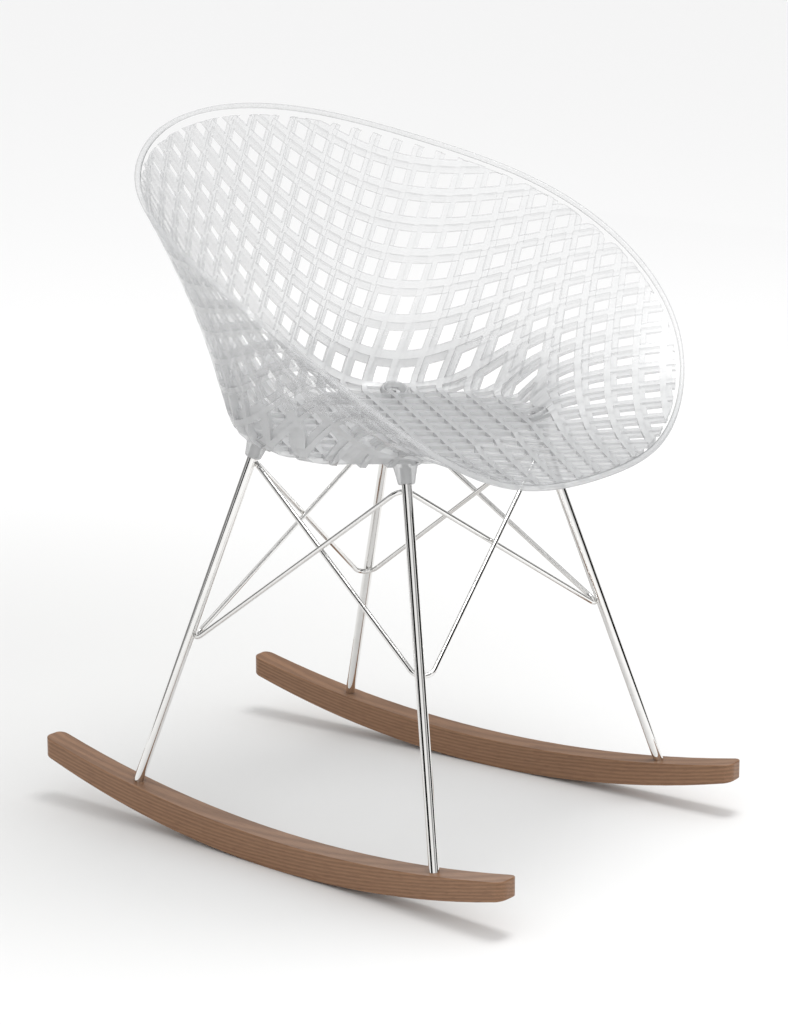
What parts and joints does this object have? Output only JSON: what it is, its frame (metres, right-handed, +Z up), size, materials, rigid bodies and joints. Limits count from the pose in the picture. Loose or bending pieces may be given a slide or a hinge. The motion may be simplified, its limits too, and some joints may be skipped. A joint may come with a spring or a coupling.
{
  "type": "rocking chair",
  "caption": "Rocking chair with a clear moulded lattice bucket seat on splayed chromed rod legs, zigzag wire bracing and curved wooden runners.",
  "frame": {"origin": "on the floor under the middle of the chair's overall box", "axes": "+Z up, the sitter faces -Y, +X is the sitter's left"},
  "size_m": [0.6304, 0.6476, 0.7621],
  "materials": {
    "clear_plastic": "clear, glossy moulded plastic",
    "chromed_steel": "polished chrome plate",
    "oiled_ash": "brown stained ash, satin",
    "zinc_plated_steel": "zinc plate, satin"
  },
  "bodies": {
    "root": {"seat_shell": "clear_plastic", "brace_loop_a": "chromed_steel", "brace_loop_b": "chromed_steel", "runner_left": "oiled_ash", "runner_right": "oiled_ash", "leg_front_left": "chromed_steel", "seat_screw_front_left": "zinc_plated_steel", "seat_washer_front_left": "zinc_plated_steel", "runner_screw_front_left": "zinc_plated_steel", "leg_front_right": "chromed_steel", "seat_screw_front_right": "zinc_plated_steel", "seat_washer_front_right": "zinc_plated_steel", "runner_screw_front_right": "zinc_plated_steel", "leg_rear_left": "chromed_steel", "seat_screw_rear_left": "zinc_plated_steel", "seat_washer_rear_left": "zinc_plated_steel", "runner_screw_rear_left": "zinc_plated_steel", "leg_rear_right": "chromed_steel", "seat_screw_rear_right": "zinc_plated_steel", "seat_washer_rear_right": "zinc_plated_steel", "runner_screw_rear_right": "zinc_plated_steel"}
  },
  "joints": []
}
